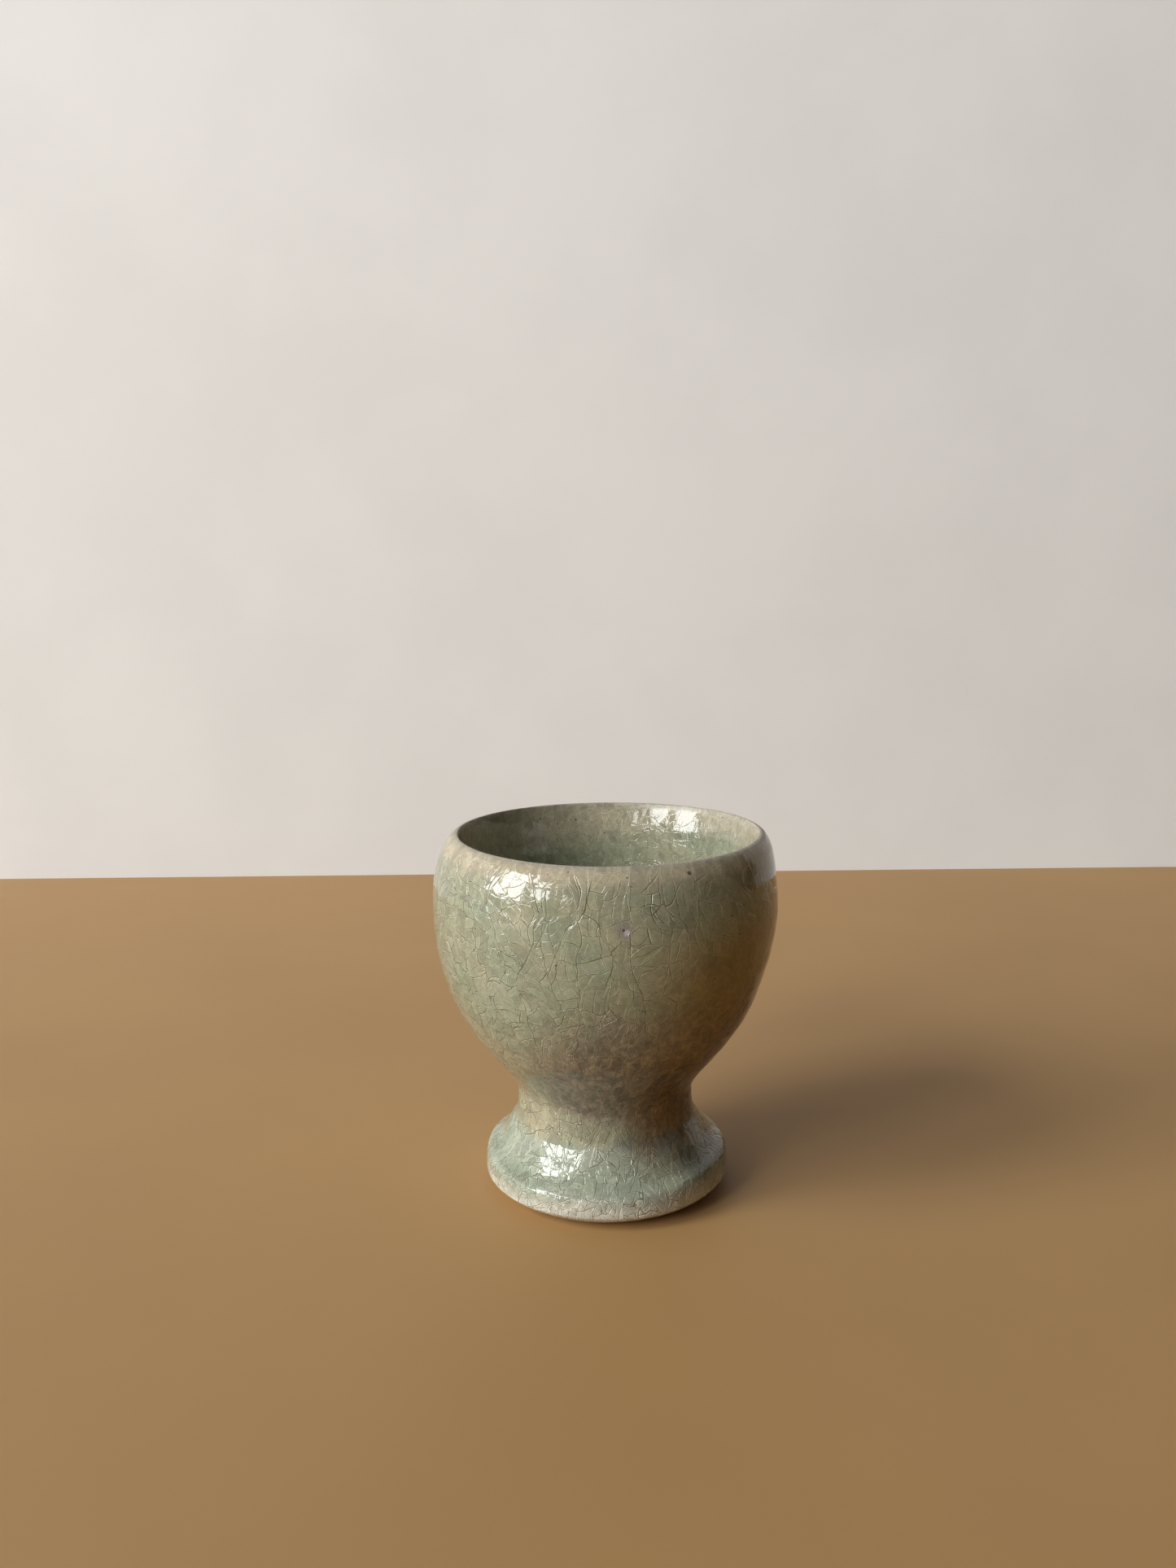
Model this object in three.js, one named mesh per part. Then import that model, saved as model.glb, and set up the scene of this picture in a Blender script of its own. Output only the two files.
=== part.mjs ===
// A stemmed cup for a boiled egg, thrown on a potter's wheel in stoneware and glazed: one piece of clay.
// Millimetres, +Z up. The origin is the middle of the foot, on the surface that the cup stands on.
// The cup is an outline spun about the axis, then pushed a little out of true, as a handmade one is.

import * as THREE from 'three';

// The foot: a disc with a rounded edge, that stands on a flat ring round a shallow turned recess.
const RECESS_DEPTH = 1.4;
const RING_INNER_RADIUS = 11.2;
const RING_OUTER_RADIUS = 15.2;
const FOOT_RADIUS = 19.25;
const FOOT_EDGE_HEIGHT = 2.5;

// Halfway up the foot, where its bulge turns into the hollow of the neck.
const SLOPE_RADIUS = 15.7;
const SLOPE_HEIGHT = 8.8;
const SLOPE_LEAN = 0.53; // radians off the vertical

// The stem's narrowest place, and the bowl's widest.
const NECK_RADIUS = 13.8;
const NECK_HEIGHT = 15.1;
const BELLY_RADIUS = 26.5;
const BELLY_HEIGHT = 46.1;

// Above the belly the wall leans in to a shoulder, and rolls over into the lip.
const SHOULDER_RADIUS = 25.15;
const SHOULDER_HEIGHT = 53.8;
const SHOULDER_LEAN = 0.354;
const LIP_RADIUS = 23.05; // at the lip's highest point
const LIP_HEIGHT = 56.1;
const MOUTH_RADIUS = 22.63; // the inner edge, where the lip meets the wall
const MOUTH_HEIGHT = 55.1;
const MOUTH_LEAN = 0.28;

// The bowl's inside narrows all the way down from the mouth, so the wall grows thicker.
const WALL = 5.2; // at the belly
const INSIDE_LEAN = 0.13;
const BOWL_FLOOR_HEIGHT = 21.5;

// How far the cup is from true.
const LIP_SHIFT = 0.57; // the lip stands this far to the right of the belly
const STEM_SHIFT = -0.3; // and the stem and the low bowl this far
const FOOT_SHIFT = -0.1;
const LIP_RISE_TO_RIGHT = -0.003; // slope of the lip, per millimetre from the axis
const LIP_RISE_TO_BACK = 0.031;
const LIP_WAVE = 0.12; // the lip is higher at the sides than at front and back
const OVAL = 0.28; // the mouth's radius grows and shrinks by this much twice a turn
const OVAL_TURN = 0.11; // radians from the right to the oval's long axis

const TURN_STEPS = 64;

// The point at a length from another, on a line that leans in from the vertical. Negative goes down.
function leaning([radius, height], lean, length) {
  return [radius - length * Math.sin(lean), height + length * Math.cos(lean)];
}

// One stretch of the outline as a cubic curve without its last point. All points are [radius, height].
function stretch(start, startHandle, endHandle, end, steps) {
  const corners = [start, startHandle, endHandle, end].map((corner) => new THREE.Vector2(...corner));
  return new THREE.CubicBezierCurve(...corners).getPoints(steps).slice(0, -1);
}

// The value that is this share of the way from one to the other.
const between = THREE.MathUtils.lerp;

// The underside: from the axis out over the recess and the ring that the cup stands on.
function underside() {
  const recessRadius = RING_INNER_RADIUS - RECESS_DEPTH;
  return [
    new THREE.Vector2(0, RECESS_DEPTH),
    ...stretch(
      [recessRadius, RECESS_DEPTH],
      [between(recessRadius, RING_INNER_RADIUS, 0.6), RECESS_DEPTH],
      [RING_INNER_RADIUS, between(0, RECESS_DEPTH, 0.6)],
      [RING_INNER_RADIUS, 0],
      4,
    ),
    new THREE.Vector2(RING_INNER_RADIUS, 0),
  ];
}

// The foot's rounded edge, its bulge, and the hollow up to the neck.
function foot() {
  const slope = [SLOPE_RADIUS, SLOPE_HEIGHT];
  return [
    ...stretch(
      [RING_OUTER_RADIUS, 0],
      [between(RING_OUTER_RADIUS, FOOT_RADIUS, 0.3), 0],
      [FOOT_RADIUS, between(FOOT_EDGE_HEIGHT, 0, 0.35)],
      [FOOT_RADIUS, FOOT_EDGE_HEIGHT],
      5,
    ),
    ...stretch(
      [FOOT_RADIUS, FOOT_EDGE_HEIGHT],
      [FOOT_RADIUS, between(FOOT_EDGE_HEIGHT, SLOPE_HEIGHT, 0.88)],
      leaning(slope, SLOPE_LEAN, -4.5),
      slope,
      7,
    ),
    ...stretch(
      slope,
      leaning(slope, SLOPE_LEAN, 3.1),
      [NECK_RADIUS, between(NECK_HEIGHT, SLOPE_HEIGHT, 0.68)],
      [NECK_RADIUS, NECK_HEIGHT],
      6,
    ),
  ];
}

// The outside of the bowl, from the neck over the belly to the shoulder.
function bowlOutside() {
  const shoulder = [SHOULDER_RADIUS, SHOULDER_HEIGHT];
  return [
    ...stretch(
      [NECK_RADIUS, NECK_HEIGHT],
      [NECK_RADIUS, between(NECK_HEIGHT, BELLY_HEIGHT, 0.16)],
      [BELLY_RADIUS, between(BELLY_HEIGHT, NECK_HEIGHT, 0.67)],
      [BELLY_RADIUS, BELLY_HEIGHT],
      14,
    ),
    ...stretch(
      [BELLY_RADIUS, BELLY_HEIGHT],
      [BELLY_RADIUS, between(BELLY_HEIGHT, SHOULDER_HEIGHT, 0.06)],
      leaning(shoulder, SHOULDER_LEAN, -3.6),
      shoulder,
      4,
    ),
  ];
}

// The lip: over its top and down to the inner edge.
function lip() {
  const mouth = [MOUTH_RADIUS, MOUTH_HEIGHT];
  return [
    ...stretch(
      [SHOULDER_RADIUS, SHOULDER_HEIGHT],
      [between(SHOULDER_RADIUS, LIP_RADIUS, 0.03), between(SHOULDER_HEIGHT, LIP_HEIGHT, 0.1)],
      [between(LIP_RADIUS, SHOULDER_RADIUS, 0.5), LIP_HEIGHT],
      [LIP_RADIUS, LIP_HEIGHT],
      5,
    ),
    ...stretch(
      [LIP_RADIUS, LIP_HEIGHT],
      [between(LIP_RADIUS, MOUTH_RADIUS, 0.45), LIP_HEIGHT],
      leaning(mouth, -MOUTH_LEAN, 0.5),
      mouth,
      3,
    ),
  ];
}

// The inside of the bowl, down to the middle of its floor.
function bowlInside() {
  const mouth = [MOUTH_RADIUS, MOUTH_HEIGHT];
  const inside = [BELLY_RADIUS - WALL, BELLY_HEIGHT];
  return [
    ...stretch(
      mouth,
      leaning(mouth, -MOUTH_LEAN, -3),
      leaning(inside, -INSIDE_LEAN, 3),
      inside,
      4,
    ),
    ...stretch(
      inside,
      leaning(inside, -INSIDE_LEAN, -15),
      [between(0, BELLY_RADIUS - WALL, 0.6), BOWL_FLOOR_HEIGHT],
      [0, BOWL_FLOOR_HEIGHT],
      12,
    ),
    new THREE.Vector2(0, BOWL_FLOOR_HEIGHT),
  ];
}

// How far the middle of the cup stands to the right at this height.
function centreAt(height) {
  const { smoothstep } = THREE.MathUtils;
  const footToStem = (STEM_SHIFT - FOOT_SHIFT) * smoothstep(height, FOOT_EDGE_HEIGHT, NECK_HEIGHT);
  const stemToBelly = -STEM_SHIFT * smoothstep(height, 32, BELLY_HEIGHT);
  const aboveBelly = Math.max(0, height - BELLY_HEIGHT) / (LIP_HEIGHT - BELLY_HEIGHT);
  return FOOT_SHIFT + footToStem + stemToBelly + LIP_SHIFT * aboveBelly ** 2;
}

// Moves one point of the true cup to its place on the handmade one. The foot stays level and round.
function pushOutOfTrue(point) {
  const turn = Math.atan2(point.y, point.x);
  const radius = Math.hypot(point.x, point.y);
  const share = THREE.MathUtils.clamp((point.z - NECK_HEIGHT) / (LIP_HEIGHT - NECK_HEIGHT), 0, 1) ** 1.5;
  const fromAxis = radius / LIP_RADIUS;
  const oval = 1 + (share * OVAL * Math.cos(2 * (turn - OVAL_TURN))) / LIP_RADIUS;
  const wave = LIP_WAVE * Math.cos(2 * turn) * fromAxis ** 2;
  const slope = LIP_RISE_TO_RIGHT * point.x + LIP_RISE_TO_BACK * point.y;
  const right = centreAt(point.z);
  point.set(point.x * oval + right, point.y * oval, point.z + share * (slope + wave));
}

// The outline spun about the axis. The lathe turns about Y, so its result is stood up on +Z.
function cupGeometry() {
  const outline = [...underside(), ...foot(), ...bowlOutside(), ...lip(), ...bowlInside()];
  const geometry = new THREE.LatheGeometry(outline, TURN_STEPS);
  geometry.rotateX(Math.PI / 2);
  const position = geometry.getAttribute('position');
  const point = new THREE.Vector3();
  for (let i = 0; i < position.count; i += 1) {
    pushOutOfTrue(point.fromBufferAttribute(position, i));
    position.setXYZ(i, point.x, point.y, point.z);
  }
  geometry.computeVertexNormals();
  return geometry;
}

// Crackled celadon glaze: a pale grey green over a buff body, glossy.
const celadon = new THREE.MeshStandardMaterial({ color: 0xa7a68b, roughness: 0.18, metalness: 0 });

const eggCup = new THREE.Mesh(cupGeometry(), celadon);
eggCup.name = 'egg_cup';

const part = new THREE.Group();
part.add(eggCup);

export default part;
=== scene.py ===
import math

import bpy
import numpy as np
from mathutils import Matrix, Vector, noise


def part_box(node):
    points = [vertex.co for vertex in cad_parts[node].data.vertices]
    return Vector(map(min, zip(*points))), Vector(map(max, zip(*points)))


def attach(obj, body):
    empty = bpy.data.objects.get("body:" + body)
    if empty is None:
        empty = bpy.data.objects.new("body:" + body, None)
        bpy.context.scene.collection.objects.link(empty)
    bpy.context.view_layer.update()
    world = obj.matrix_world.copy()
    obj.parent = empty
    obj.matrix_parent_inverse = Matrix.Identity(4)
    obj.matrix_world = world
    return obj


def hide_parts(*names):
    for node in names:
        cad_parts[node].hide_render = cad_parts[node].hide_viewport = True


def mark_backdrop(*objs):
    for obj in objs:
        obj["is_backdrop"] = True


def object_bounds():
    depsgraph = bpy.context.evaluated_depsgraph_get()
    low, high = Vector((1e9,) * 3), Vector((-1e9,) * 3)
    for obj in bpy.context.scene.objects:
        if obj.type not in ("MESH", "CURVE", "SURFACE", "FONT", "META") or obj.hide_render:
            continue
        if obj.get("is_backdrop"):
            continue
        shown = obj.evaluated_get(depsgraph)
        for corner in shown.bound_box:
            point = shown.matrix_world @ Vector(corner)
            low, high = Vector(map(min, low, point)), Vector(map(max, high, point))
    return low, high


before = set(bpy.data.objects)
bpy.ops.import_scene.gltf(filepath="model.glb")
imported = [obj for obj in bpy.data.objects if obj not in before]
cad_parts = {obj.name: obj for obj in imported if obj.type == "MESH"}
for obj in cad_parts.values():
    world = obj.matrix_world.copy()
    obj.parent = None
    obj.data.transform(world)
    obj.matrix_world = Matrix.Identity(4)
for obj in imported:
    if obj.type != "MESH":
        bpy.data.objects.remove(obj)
frame_low, frame_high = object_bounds()

# %% [markdown]
# # A crackle-glazed egg cup
#
# The cup is thrown in stoneware on a potter's wheel, dipped in a celadon glaze and fired. As it cools the
# glaze shrinks more than the clay under it, and breaks into a net of fine cracks.
#
# The measured solid gives the size of the cup. One finer mesh is built here in its place, close enough that
# the small unevenness of a hand-thrown pot can be real shape. The cracks are finer than any mesh, so they
# are a pattern in the material.
#
# All lengths in the first cells are millimetres, and are turned into metres when the mesh is made. The
# patterns in the glaze and the clay are measured in millimetres too.

box_low, box_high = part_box("egg_cup")
print("the cup is", [round(1000 * side, 2) for side in box_high - box_low], "mm")

# %% [markdown]
# ## The outline
#
# A thrown pot is an outline spun about the wheel's axis. The outline could be drawn as a Bézier curve and
# spun with the Screw modifier. Here it is worked out in code, so that every ring of points can be moved
# afterwards: each stretch is a cubic curve with two ends and two handles, as [radius, height].

# %% The outline of the cup
def leaning(point, lean, length):
    """A handle: the point at a length along a line that leans in from the vertical by some radians."""
    return (point[0] - length * math.sin(lean), point[1] + length * math.cos(lean))


def stretch(start, start_handle, end_handle, end, steps):
    """A cubic curve from start to end as a table of points, without its last point."""
    t = np.linspace(0, 1, steps, endpoint=False)[:, None]
    a, b, c, d = (np.array(point, float) for point in (start, start_handle, end_handle, end))
    return (1 - t) ** 3 * a + 3 * (1 - t) ** 2 * t * b + 3 * (1 - t) * t**2 * c + t**3 * d


# Where one stretch ends and the next begins. The foot stands on a ring round a shallow recess.
RECESS_HEIGHT, FLOOR_HEIGHT = 1.4, 21.5
recess_middle, recess = (0.4, RECESS_HEIGHT), (9.8, RECESS_HEIGHT)
ring_inner, ring_outer = (11.2, 0.0), (15.2, 0.0)
foot_edge, slope, neck = (19.25, 2.5), (15.7, 8.8), (13.8, 15.1)
belly, shoulder, lip, mouth = (26.5, 46.1), (25.15, 53.8), (23.05, 56.1), (22.63, 55.1)
inside, floor_middle = (21.3, 46.1), (0.4, FLOOR_HEIGHT)

# How far the outline leans in from the vertical there, in radians.
SLOPE_LEAN, SHOULDER_LEAN, MOUTH_LEAN, INSIDE_LEAN = 0.53, 0.354, -0.28, -0.13

outline = np.vstack([
    stretch(recess_middle, (3, RECESS_HEIGHT), (6, RECESS_HEIGHT), recess, 8),
    stretch(recess, (10.6, RECESS_HEIGHT), (11.2, 0.8), ring_inner, 7),
    stretch(ring_inner, (12.5, 0), (13.8, 0), ring_outer, 8),
    stretch(ring_outer, (16.4, 0), (19.25, 1.6), foot_edge, 13),
    stretch(foot_edge, (19.25, 8.04), leaning(slope, SLOPE_LEAN, -4.5), slope, 20),
    stretch(slope, leaning(slope, SLOPE_LEAN, 3.1), (13.8, 10.8), neck, 17),
    stretch(neck, (13.8, 20.06), (26.5, 25.3), belly, 82),
    stretch(belly, (26.5, 46.56), leaning(shoulder, SHOULDER_LEAN, -3.6), shoulder, 18),
    stretch(shoulder, (25.09, 54.03), (24.1, 56.1), lip, 14),
    stretch(lip, (22.86, 56.1), leaning(mouth, MOUTH_LEAN, 0.5), mouth, 7),
    stretch(mouth, leaning(mouth, MOUTH_LEAN, -3), leaning(inside, INSIDE_LEAN, 3), inside, 16),
    stretch(inside, leaning(inside, INSIDE_LEAN, -15), (12.8, FLOOR_HEIGHT), floor_middle, 44),
])
print(len(outline), "points on the outline")

# %% [markdown]
# ## Out of true
#
# Soft clay never stays perfectly round. The lip dips at the front and stands a little to the right, the
# mouth is slightly oval, and the stem sits to the left of the bowl. These small shifts are what tells a
# thrown cup from a cast one, so each is a plain formula of the height and of the angle round the cup.
#
# The fingers also leave shallow rings as they draw the wall up, and the trimming tool leaves flats. A texture
# could displace the wall for them. Here they are added to the radius, so each lies where it is wanted.
#
# The angle is counted from the front, and grows to the right. Places are given in degrees from the front.

# %% Spin the outline
TURNS = 384
around = np.linspace(0, 2 * np.pi, TURNS, endpoint=False)
front = np.repeat(around[None, :], len(outline), 0)
radius = np.repeat(outline[:, :1], TURNS, 1)
height = np.repeat(outline[:, 1:], TURNS, 1)

# True on the inside of the bowl, told by the place on the outline: it comes after the top of the lip.
ring_number = np.arange(len(outline))[:, None]
lip_ring = int(np.argmax(outline[:, 1]))
is_inside = np.repeat(ring_number > lip_ring, TURNS, 1)


def smoothstep(value, low, high):
    """0 below low, 1 above high, and an S-shaped rise between them."""
    share = np.clip((value - low) / (high - low), 0, 1)
    return share * share * (3 - 2 * share)


def nearness(angle, at_height, wide, tall):
    """1 at one place on the wall, fading over so many millimetres round the cup and up it."""
    turned = (front - math.radians(angle) + np.pi) % (2 * np.pi) - np.pi
    return np.exp(-((turned * radius / wide) ** 2) - ((height - at_height) / tall) ** 2)


print(radius.size, "places on the wall")

# %% Marks of the hand
# Trimming marks: the right of the bowl is a tenth of a millimetre flatter or fuller in places.
trimming = (
    -0.10 * nearness(88, 48.5, 14, 2.6)
    + 0.10 * nearness(88, 44.0, 14, 3.2)
    + 0.12 * nearness(86, 27.5, 12, 3.0)
    - 0.05 * nearness(80, 34.0, 12, 2.5)
)

# Throwing rings: shallow grooves left by the fingers, that climb round the bowl, deepest on its inside.
RING_PITCH, RING_DEPTH_INSIDE, RING_DEPTH_OUTSIDE = 3.4, 0.045, 0.02
climb = height + RING_PITCH * front / (2 * np.pi)
on_bowl = smoothstep(height, 16, 26) * (1 - smoothstep(height, 48, 54))
throwing = np.where(is_inside, RING_DEPTH_INSIDE, RING_DEPTH_OUTSIDE) * np.sin(2 * np.pi * climb / RING_PITCH)
outward = np.where(is_inside, 0, trimming) + throwing * on_bowl

# The foot is thinner in front: its upper side sinks there.
FOOT_SINKS, SINKS_MOST_AT = 1.0, math.radians(-20)
in_front = smoothstep(np.cos(front - SINKS_MOST_AT), 0.1, 0.9)
upper_side = smoothstep(height, 1.0, 8.0) * (1 - smoothstep(height, 9.5, 15))
drop = np.where(is_inside, 0, FOOT_SINKS * in_front * upper_side)
print("the foot is up to", round(float(drop.max()), 2), "mm thinner in front")

# %% Push the cup out of true
LIP_RADIUS, LIP_HEIGHT = lip
NECK_HEIGHT, BELLY_HEIGHT = neck[1], belly[1]
FOOT_SHIFT, STEM_SHIFT, BELLY_SHIFT, LIP_SHIFT = -0.1, -0.2, 0.3, 0.57
OVAL, OVAL_TURN = 0.28, 0.11
LIP_WAVE, RISE_TO_RIGHT, RISE_TO_BACK = 0.12, -0.003, 0.031


def centre_at(level):
    """How far the middle of the cup stands to the right at this height."""
    to_stem = STEM_SHIFT * smoothstep(level, foot_edge[1], NECK_HEIGHT)
    to_belly = BELLY_SHIFT * smoothstep(level, 32, BELLY_HEIGHT)
    above_belly = np.maximum(0, level - BELLY_HEIGHT) / (LIP_HEIGHT - BELLY_HEIGHT)
    return FOOT_SHIFT + to_stem + to_belly + LIP_SHIFT * above_belly**2


# How much of the lean and the oval is reached: none at the neck, all at the lip.
share = np.clip((height - NECK_HEIGHT) / (LIP_HEIGHT - NECK_HEIGHT), 0, 1) ** 1.5
turn = front - np.pi / 2
oval = 1 + share * OVAL * np.cos(2 * (turn - OVAL_TURN)) / LIP_RADIUS
x = (radius + outward) * oval * np.cos(turn)
y = (radius + outward) * oval * np.sin(turn)
wave = LIP_WAVE * np.cos(2 * turn) * (radius / LIP_RADIUS) ** 2
z = height - drop + share * (RISE_TO_RIGHT * x + RISE_TO_BACK * y + wave)
x = x + centre_at(height)
lip_heights = z[lip_ring]
print("the lip is", round(float(lip_heights.min()), 2), "to", round(float(lip_heights.max()), 2), "mm high")

# %% [markdown]
# ## The mesh
#
# The points become one closed skin: a quad between every two neighbours, and a fan of triangles over each
# end of the outline, with its tip on the axis. The glaze also has a faint orange-peel unevenness. It is made
# with a noise that moves every point towards the axis or away from it, by a few hundredths of a millimetre.

# %% Build the mesh in metres
rings = len(outline)
points = np.stack([x, y, z], -1).reshape(-1, 3)


def peel(point):
    """Unevenness of the glaze, in millimetres: waves of about 7 mm, and smaller ones on them."""
    broad = noise.noise(Vector(point) / 7.0)
    fine = noise.noise(Vector(point) / 2.3 + Vector((40, 0, 0)))
    return 0.07 * broad + 0.018 * fine


# The recess and the ring that the cup stands on stay true.
underside = (outline[:, 1] < RECESS_HEIGHT + 0.05) & (outline[:, 0] < ring_outer[0] + 0.1)
push = np.array([peel(point) for point in points]).reshape(rings, TURNS)
push[underside] = 0
from_axis = np.stack([np.cos(turn), np.sin(turn), np.zeros_like(turn)], -1).reshape(-1, 3)
facing_out = np.where(is_inside, -1, 1).reshape(-1, 1)
points = points + push.reshape(-1, 1) * from_axis * facing_out

bottom, top = [0, 0, RECESS_HEIGHT], [0, 0, FLOOR_HEIGHT]
vertices = np.vstack([points, [bottom], [top]]) / 1000

# The measured solid is the limit: the mesh is scaled about its middle, to just less than the solid's size.
SHARE_OF_SOLID, LIFT = 0.9995, 0.000005
low, high = vertices.min(0), vertices.max(0)
limit_low, limit_high = np.array(box_low), np.array(box_high)
shrink = np.minimum(1, (limit_high - limit_low) / (high - low) * SHARE_OF_SOLID)
middle = (limit_low + limit_high) / 2
vertices = (vertices - (low + high) / 2) * shrink + middle
vertices[:, 2] += limit_low[2] - vertices[:, 2].min() + LIFT
print("scaled by", shrink.round(5))

# %% The skin, in place of the measured solid
corner = np.arange(rings * TURNS).reshape(rings, TURNS)
after = np.roll(corner, -1, 1)
quads = np.stack([corner[:-1], after[:-1], after[1:], corner[1:]], -1).reshape(-1, 4)
bottom_index, top_index = len(points), len(points) + 1
fans = [(bottom_index, int(b), int(a)) for a, b in zip(corner[0], after[0])]
fans += [(top_index, int(a), int(b)) for a, b in zip(corner[-1], after[-1])]

cup_mesh = bpy.data.meshes.new("glazed_cup")
cup_mesh.from_pydata(vertices.tolist(), [], quads.tolist() + fans)
cup_mesh.polygons.foreach_set("use_smooth", [True] * len(cup_mesh.polygons))
cup_mesh.update()
cup = bpy.data.objects.new("glazed_cup", cup_mesh)
bpy.context.scene.collection.objects.link(cup)
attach(cup, "root")
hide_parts("egg_cup")
print(len(vertices), "points,", 2 * len(quads) + len(fans), "triangles")

# %% [markdown]
# ## Where the glaze is thick, thin, green or smoky
#
# The glaze runs as it melts. It leaves the lip thin, so that the tan clay shows through, and the edge of the
# foot pale, and it pools green where it gathers. Round the stem and the low bowl it took up smoke in the
# kiln, and on the right of the foot it turned blue grey. Some zones also hold painted light and shade: the
# smoky zone is painted darker in front and on the right, the right of the cup has a painted warm shade, the
# pale foot edge holds painted warm light from the floor, and the inside of the bowl has painted shade.
#
# These zones could be painted by hand in Weight Paint or Vertex Paint. Here each is made of soft patches and
# bands, placed by angle and height. It is stored on the mesh as an attribute, which the material reads by
# name.

# %% Brushes for the zones
outside = ~is_inside
from_front = (np.degrees(front) + 180) % 360 - 180
zones = {}


def spread(*patches):
    """The strongest of several soft patches, each (angle, height, wide, tall, strength)."""
    total = np.zeros_like(radius)
    for angle, at_height, wide, tall, strength in patches:
        total = np.maximum(total, strength * nearness(angle, at_height, wide, tall))
    return total


def on_side(low, high, side=1):
    """0 in front, growing to 1 on the right of the cup, or with -1 on its left, and 0 again at the back."""
    return smoothstep(side * from_front, low, high) * (1 - smoothstep(side * from_front, 112, 172))


def between_heights(start, full, fall, end):
    """Grows from 0 at the start to 1 at the full height, and fades from the fall to the end."""
    return smoothstep(height, start, full) * (1 - smoothstep(height, fall, end))


# %% Thin and pale glaze
# Thin, tan glaze over the lip, reaching further down on the inside, most of all on the left. There are also
# patches where it ran thin, such as round the left of the neck and the low bowl.
left_inside = nearness(-115, 50, 30, 99)
lip_band = np.where(
    is_inside,
    smoothstep(height, 50.0 - 7.0 * left_inside, 54.5 - 2.0 * left_inside),
    smoothstep(height, 51.5, 55.4),
)
thin_patches = spread(
    (-48, 14.5, 13, 4.5, 0.5), (-42, 26, 13, 6, 0.4), (-29, 48.6, 4, 2.5, 0.5), (-110, 30, 10, 6, 0.3),
    (150, 46, 8, 4, 0.4),
)
zones["thin"] = np.where(is_inside, 0.75 * lip_band, np.maximum(lip_band, thin_patches))

# The last millimetre of the lip is drier still, almost bare.
zones["dry_lip"] = np.where(is_inside, smoothstep(height, 54.9, 55.9), smoothstep(height, 55.3, 56.0))

# Pale glaze on the edge of the foot, reaching higher in front, made paler and warmer still with painted warm
# light thrown up from the floor.
pale_top = 7.0 + 2.0 * nearness(5, 5, 9, 99)
zones["pale_foot_and_floor_light"] = np.where(outside, 1 - smoothstep(height, 0.8, pale_top), 0)

# %% Smoke, painted shade and painted warm shade
# Smoky brown grey round the stem and the low bowl, and painted shade: it is faint on the left, which faces
# the window, and strong in front and on the right. It reaches higher in front and on the right, and there its
# lower edge lies lower too.
to_right = on_side(-55, 0)
smoke_and_shade_top = 26 + 13 * to_right
smoke_and_shade_low = 17.5 - 3.5 * to_right - 4.5 * on_side(0, 60)
smoke_and_shade_band = between_heights(smoke_and_shade_low - 3, smoke_and_shade_low + 3, smoke_and_shade_top - 15, smoke_and_shade_top + 4)
smoke_and_shade_side = 0.2 + 0.8 * on_side(-62, -12) + 0.5 * nearness(-150, 20, 15, 9)
# Painted shade on the right of the foot's top.
smoke_and_shade_on_foot = 0.8 * nearness(34, 11.5, 7.5, 3.5)
zones["smoke_and_shade"] = np.where(outside, np.maximum(smoke_and_shade_band * smoke_and_shade_side, smoke_and_shade_on_foot), 0)

# Painted warm shade on the right of the bowl and the stem, and a little on the foot: the colour is made
# browner there, where the cup looks away from the window and takes warm light from below.
painted_warm_shade_side = on_side(-5, 50) * (1 - 0.4 * smoothstep(from_front, 60, 100))
painted_warm_shade_height = 0.4 * between_heights(3, 8, 38, 54) + 0.6 * between_heights(9, 15, 38, 54)
zones["painted_warm_shade"] = np.where(outside, painted_warm_shade_side * painted_warm_shade_height, 0)

# %% Green, mint and blue
# A cooler, mintier glaze where it lies thick: over the foot, and on the left of the bowl.
mint_foot = between_heights(3.5, 6, 10, 13)
mint_bowl = 0.35 * on_side(5, 45, -1) * between_heights(30, 38, 49, 54)
zones["mint"] = np.where(outside, np.maximum(mint_foot, mint_bowl), 0.2 * (1 - smoothstep(height, 48, 53)))

# Green pools. The whole inside is green, more so lower down.
zones["green"] = np.where(
    outside,
    spread(
        (-32, 42, 6, 3.5, 0.9), (-16, 47, 5, 3.5, 0.9), (-7, 44.8, 3, 2.5, 1.0), (0, 41.6, 3, 2.5, 0.8),
        (20, 48.3, 4.5, 2.5, 0.8), (34, 46.5, 5, 2.5, 0.7), (-52, 38, 4, 4, 1.0), (-60, 47, 6, 5, 0.6),
        (-50, 7, 3.2, 2.4, 1.0), (-79, 8, 3, 3, 0.9), (-9, 7.2, 3.4, 1.8, 0.8), (6, 6.5, 4, 1.8, 0.6),
        (26, 7, 4, 1.8, 0.6), (120, 44, 9, 5, 0.8), (165, 36, 8, 5, 0.8), (-130, 42, 10, 6, 0.7),
        (150, 7, 7, 2.5, 0.9), (-140, 7, 7, 2.5, 0.8),
    ),
    0.35 + 0.45 * smoothstep(-height, -52, -38),
)

# Blue grey on the right of the foot.
zones["blue"] = np.where(
    outside,
    spread((14, 12, 3.5, 1.8, 0.7), (41, 11, 4, 2.6, 0.8), (50, 7, 5, 2.8, 1.0), (74, 6.8, 6, 3.0, 0.9)),
    0,
)

# Painted shade inside the bowl: the colour is a little darker there, but not on the left, where it looks away
# from the window.
not_left = 1 - 1.5 * nearness(-105, 45, 34, 30)
zones["painted_inside_shade"] = np.where(is_inside, 1 - smoothstep(height, 54.5, 56), 0) * not_left

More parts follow.
